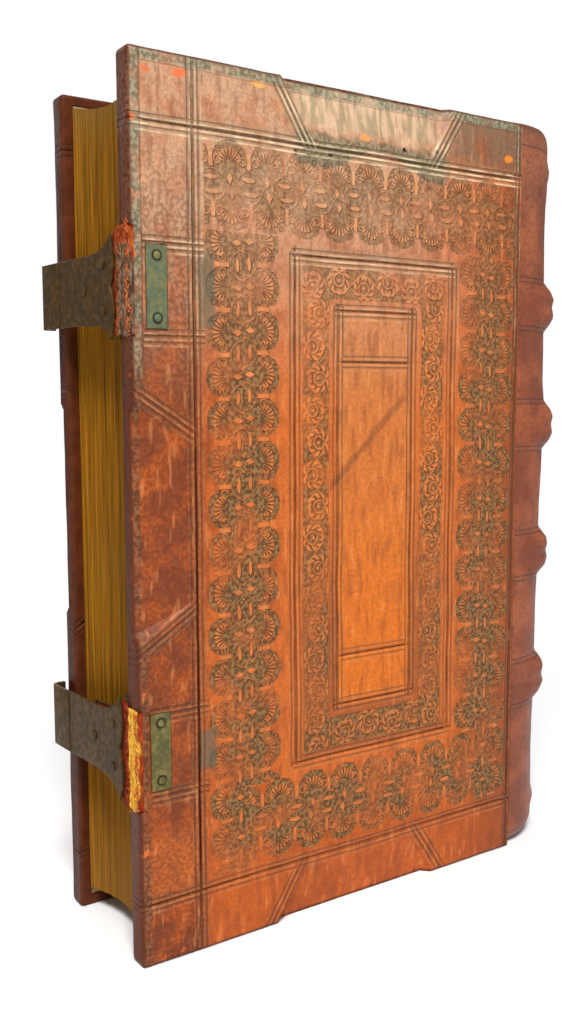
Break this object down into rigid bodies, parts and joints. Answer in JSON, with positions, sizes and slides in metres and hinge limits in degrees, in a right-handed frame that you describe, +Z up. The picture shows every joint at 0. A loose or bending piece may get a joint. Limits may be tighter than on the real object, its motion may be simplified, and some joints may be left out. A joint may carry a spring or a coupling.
{
  "type": "antique leather book",
  "caption": "Folio book with wooden boards in blind-tooled leather, raised spine bands and two strap clasps; its covers and clasps swing open.",
  "frame": {"origin": "middle of the part's overall box, on the surface it stands on", "axes": "+Z up from tail to head, +X from the fore-edge to the spine, +Y from the back cover to the front cover"},
  "size_m": [0.229, 0.0686, 0.3208],
  "materials": {
    "tooled_leather": "worn, blind tooled, red-brown to orange",
    "strap_leather": "torn and cracked, orange fibres",
    "board_wood": "plain sawn hardwood",
    "leaves": "ochre leaf edges",
    "pasted_paper": "cream sheet",
    "cord": "hemp cord",
    "plate_brass": "green patina",
    "clasp_brass": "dark brown patina"
  },
  "bodies": {
    "back_cover": {"back_board": "board_wood", "back_cover_leather": "tooled_leather", "back_pastedown": "pasted_paper", "lower_anchor_plate": "plate_brass", "lower_anchor_plate_lower_nail": "plate_brass", "lower_anchor_plate_upper_nail": "plate_brass", "lower_strap_anchor": "strap_leather", "upper_anchor_plate": "plate_brass", "upper_anchor_plate_lower_nail": "plate_brass", "upper_anchor_plate_upper_nail": "plate_brass", "upper_strap_anchor": "strap_leather"},
    "front_cover": {"front_board": "board_wood", "front_cover_leather": "tooled_leather", "front_pastedown": "pasted_paper", "lower_catch_plate": "plate_brass", "lower_catch_plate_lower_nail": "plate_brass", "lower_catch_plate_upper_nail": "plate_brass", "upper_catch_plate": "plate_brass", "upper_catch_plate_lower_nail": "plate_brass", "upper_catch_plate_upper_nail": "plate_brass"},
    "text_block_and_spine": {"head_endband": "cord", "sewing_band_1": "cord", "sewing_band_2": "cord", "sewing_band_3": "cord", "sewing_band_4": "cord", "spine_leather": "tooled_leather", "tail_endband": "cord", "text_block": "leaves"},
    "lower_clasp": {"lower_clasp": "clasp_brass", "lower_clasp_back": "clasp_brass", "lower_lower_rivet": "clasp_brass", "lower_neck_rivet": "clasp_brass", "lower_strap": "strap_leather", "lower_upper_rivet": "clasp_brass"},
    "upper_clasp": {"upper_clasp": "clasp_brass", "upper_clasp_back": "clasp_brass", "upper_lower_rivet": "clasp_brass", "upper_neck_rivet": "clasp_brass", "upper_strap": "strap_leather", "upper_upper_rivet": "clasp_brass"}
  },
  "joints": [
    {"name": "back_cover_hinge", "type": "hinge", "parent": "text_block_and_spine", "child": "back_cover", "pos_m": [0.07524, -0.03327, 0.16], "axis": [0, 0, 1], "range_deg": [0, 120]},
    {"name": "front_cover_hinge", "type": "hinge", "parent": "text_block_and_spine", "child": "front_cover", "pos_m": [0.07524, 0.03213, 0.16], "axis": [0, 0, -1], "range_deg": [0, 120]},
    {"name": "upper_clasp_hinge", "type": "hinge", "parent": "back_cover", "child": "upper_clasp", "pos_m": [-0.10936, -0.02727, 0.244], "axis": [0, 0, 1], "range_deg": [-3.5, 150]},
    {"name": "lower_clasp_hinge", "type": "hinge", "parent": "back_cover", "child": "lower_clasp", "pos_m": [-0.10936, -0.02727, 0.0765], "axis": [0, 0, 1], "range_deg": [-3.5, 150]}
  ]
}
